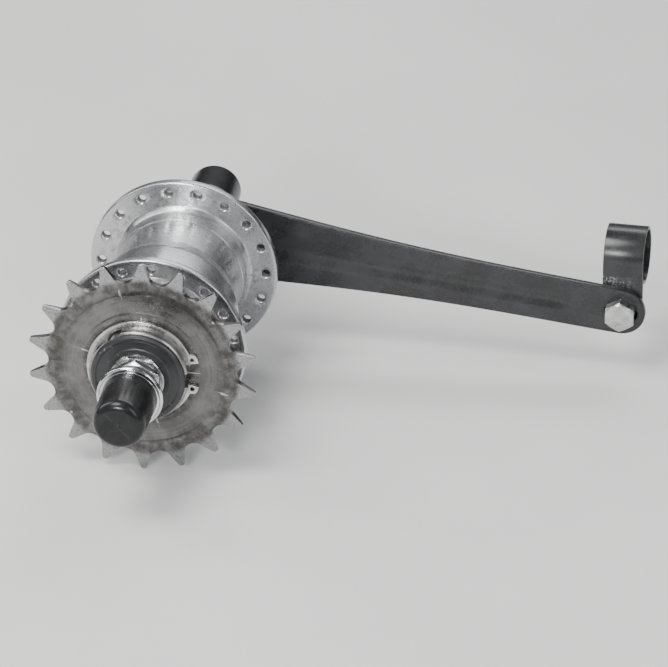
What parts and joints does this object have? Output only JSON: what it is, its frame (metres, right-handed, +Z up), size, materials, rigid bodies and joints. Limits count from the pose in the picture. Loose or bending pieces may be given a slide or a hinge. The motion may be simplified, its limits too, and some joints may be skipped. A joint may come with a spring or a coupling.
{
  "type": "bicycle hub gear",
  "caption": "Rear bicycle hub with an automatic planetary gear and back-pedal brake: flanged shell, sprocket, brake arm with clip, axle with washers, nuts and black caps.",
  "frame": {"origin": "on the axle, midway between the two locknut faces and midway between the spoke flanges, which is the plane the rim is centred on", "axes": "+Y along the axle from the sprocket side to the brake side, +X towards the bicycle's front, +Z up"},
  "size_m": [0.1978, 0.1738, 0.0796],
  "materials": {
    "satin_shell": "satin",
    "axle_steel": "turned",
    "cone_steel": "ground",
    "bearing_steel": "polished",
    "cage_steel": "pressed",
    "zinc_steel": "zinc plated",
    "bright_washer": "bright plated",
    "cap_plastic": "satin",
    "black_cap": "satin",
    "sprocket_steel": "stamped",
    "gear_steel": "hardened",
    "pin_steel": "ground",
    "pawl_steel": "hardened",
    "clutch_cage": "pressed",
    "spring_wire": "drawn",
    "shoe_bronze": "turned",
    "arm_paint": "satin"
  },
  "bodies": {
    "frame_side": {"axle": "axle_steel", "right_cone": "cone_steel", "right_dust_cap": "black_cap", "right_lock_washer": "zinc_steel", "right_locknut": "zinc_steel", "right_axle_washer": "bright_washer", "right_axle_nut": "zinc_steel", "right_nut_cap": "cap_plastic", "lever_cone": "cone_steel", "left_dust_cap": "black_cap", "brake_arm": "arm_paint", "arm_lock_nut": "zinc_steel", "left_locknut": "zinc_steel", "left_axle_washer": "bright_washer", "left_axle_nut": "zinc_steel", "left_nut_cap": "cap_plastic", "arm_clip": "arm_paint", "clip_bolt": "zinc_steel", "clip_nut": "zinc_steel", "shoe_spring": "spring_wire"},
    "shell": {"hub_shell": "satin_shell", "right_ball_cup": "cone_steel", "left_ball_cup": "cone_steel"},
    "drive": {"driver": "gear_steel", "sprocket": "sprocket_steel", "sprocket_snap_ring": "zinc_steel", "shell_dust_ring": "black_cap", "planet_carrier": "gear_steel", "planet_pins": "pin_steel"},
    "planet_1": {"planet_gear_1": "gear_steel"},
    "planet_2": {"planet_gear_2": "gear_steel"},
    "planet_3": {"planet_gear_3": "gear_steel"},
    "ring": {"ring_gear": "gear_steel", "pawl_pins": "pin_steel", "flyweight_pins": "pin_steel", "pawl_spring": "spring_wire", "flyweight_spring": "spring_wire"},
    "pawl_a": {"pawl_1": "pawl_steel"},
    "pawl_b": {"pawl_2": "pawl_steel"},
    "weight_a": {"flyweight_1": "pawl_steel"},
    "weight_b": {"flyweight_2": "pawl_steel"},
    "clutch": {"roller_cage": "clutch_cage", "clutch_rollers": "pin_steel"},
    "brake_actuator": {"brake_cone": "gear_steel", "friction_spring": "spring_wire"},
    "shoe_a": {"brake_shoe_1": "shoe_bronze"},
    "shoe_b": {"brake_shoe_2": "shoe_bronze"},
    "shoe_c": {"brake_shoe_3": "shoe_bronze"},
    "driver_bearing": {"driver_balls": "bearing_steel", "driver_ball_cage": "cage_steel"},
    "right_bearing": {"right_shell_balls": "bearing_steel", "right_ball_cage": "cage_steel"},
    "left_bearing": {"left_balls": "bearing_steel", "left_ball_cage": "cage_steel"}
  },
  "joints": [
    {"name": "shell_spin", "type": "hinge", "parent": "frame_side", "child": "shell", "pos_m": [0, 0, 0], "axis": [0, 1, 0], "continuous": true},
    {"name": "drive_spin", "type": "hinge", "parent": "frame_side", "child": "drive", "pos_m": [0, 0, 0], "axis": [0, 1, 0], "continuous": true},
    {"name": "ring_spin", "type": "hinge", "parent": "frame_side", "child": "ring", "pos_m": [0, 0, 0], "axis": [0, 1, 0], "continuous": true},
    {"name": "planet_1_spin", "type": "hinge", "parent": "drive", "child": "planet_1", "pos_m": [0, 0, 0.0135], "axis": [0, 1, 0], "continuous": true},
    {"name": "planet_2_spin", "type": "hinge", "parent": "drive", "child": "planet_2", "pos_m": [-0.01169, 0, -0.00675], "axis": [0, 1, 0], "continuous": true},
    {"name": "planet_3_spin", "type": "hinge", "parent": "drive", "child": "planet_3", "pos_m": [0.01169, 0, -0.00675], "axis": [0, 1, 0], "continuous": true},
    {"name": "driver_bearing_spin", "type": "hinge", "parent": "frame_side", "child": "driver_bearing", "pos_m": [0, 0, 0], "axis": [0, 1, 0], "continuous": true},
    {"name": "right_bearing_spin", "type": "hinge", "parent": "frame_side", "child": "right_bearing", "pos_m": [0, 0, 0], "axis": [0, 1, 0], "continuous": true},
    {"name": "left_bearing_spin", "type": "hinge", "parent": "frame_side", "child": "left_bearing", "pos_m": [0, 0, 0], "axis": [0, 1, 0], "continuous": true},
    {"name": "flyweight_1_swing", "type": "hinge", "parent": "ring", "child": "weight_a", "pos_m": [0.01318, 0, 0.0157], "axis": [0, 1, 0], "range_deg": [-6, 0], "stiffness_Nm_per_rad": 0.02, "deforming": ["flyweight_spring", "pawl_spring"]},
    {"name": "flyweight_2_swing", "type": "hinge", "parent": "ring", "child": "weight_b", "pos_m": [-0.01318, 0, -0.0157], "axis": [0, 1, 0], "range_deg": [-6, 0]},
    {"name": "pawl_1_swing", "type": "hinge", "parent": "ring", "child": "pawl_a", "pos_m": [0.0186, 0, 0], "axis": [0, -1, 0], "range_deg": [-14, 0]},
    {"name": "pawl_2_swing", "type": "hinge", "parent": "ring", "child": "pawl_b", "pos_m": [-0.0186, 0, 0], "axis": [0, -1, 0], "range_deg": [-14, 0]},
    {"name": "clutch_shift", "type": "hinge", "parent": "drive", "child": "clutch", "pos_m": [0, 0, 0], "axis": [0, 1, 0], "range_deg": [-7, 0]},
    {"name": "brake_cone_slide", "type": "slide", "parent": "frame_side", "child": "brake_actuator", "axis": [0, 1, 0], "range_m": [0, 0.0009], "deforming": ["shoe_spring"]},
    {"name": "shoe_a_press", "type": "slide", "parent": "frame_side", "child": "shoe_a", "axis": [0.866, 0, 0.5], "range_m": [0, 0.00027]},
    {"name": "shoe_b_press", "type": "slide", "parent": "frame_side", "child": "shoe_b", "axis": [-0.866, 0, 0.5], "range_m": [0, 0.00027]},
    {"name": "shoe_c_press", "type": "slide", "parent": "frame_side", "child": "shoe_c", "axis": [0, 0, -1], "range_m": [0, 0.00027]}
  ],
  "couplings": [
    {"joint": "drive_spin", "follows": "shell_spin", "ratio": 0.73333},
    {"joint": "ring_spin", "follows": "shell_spin", "ratio": 1},
    {"joint": "planet_1_spin", "follows": "shell_spin", "ratio": 0.8381},
    {"joint": "planet_2_spin", "follows": "shell_spin", "ratio": 0.8381},
    {"joint": "planet_3_spin", "follows": "shell_spin", "ratio": 0.8381},
    {"joint": "driver_bearing_spin", "follows": "shell_spin", "ratio": 0.4228},
    {"joint": "right_bearing_spin", "follows": "shell_spin", "ratio": 0.8794},
    {"joint": "left_bearing_spin", "follows": "shell_spin", "ratio": 0.5554},
    {"joint": "flyweight_2_swing", "follows": "flyweight_1_swing", "ratio": 1},
    {"joint": "pawl_1_swing", "follows": "flyweight_1_swing", "ratio": 2.3333},
    {"joint": "pawl_2_swing", "follows": "flyweight_1_swing", "ratio": 2.3333},
    {"joint": "shoe_a_press", "follows": "brake_cone_slide", "ratio": 0.3},
    {"joint": "shoe_b_press", "follows": "brake_cone_slide", "ratio": 0.3},
    {"joint": "shoe_c_press", "follows": "brake_cone_slide", "ratio": 0.3}
  ]
}
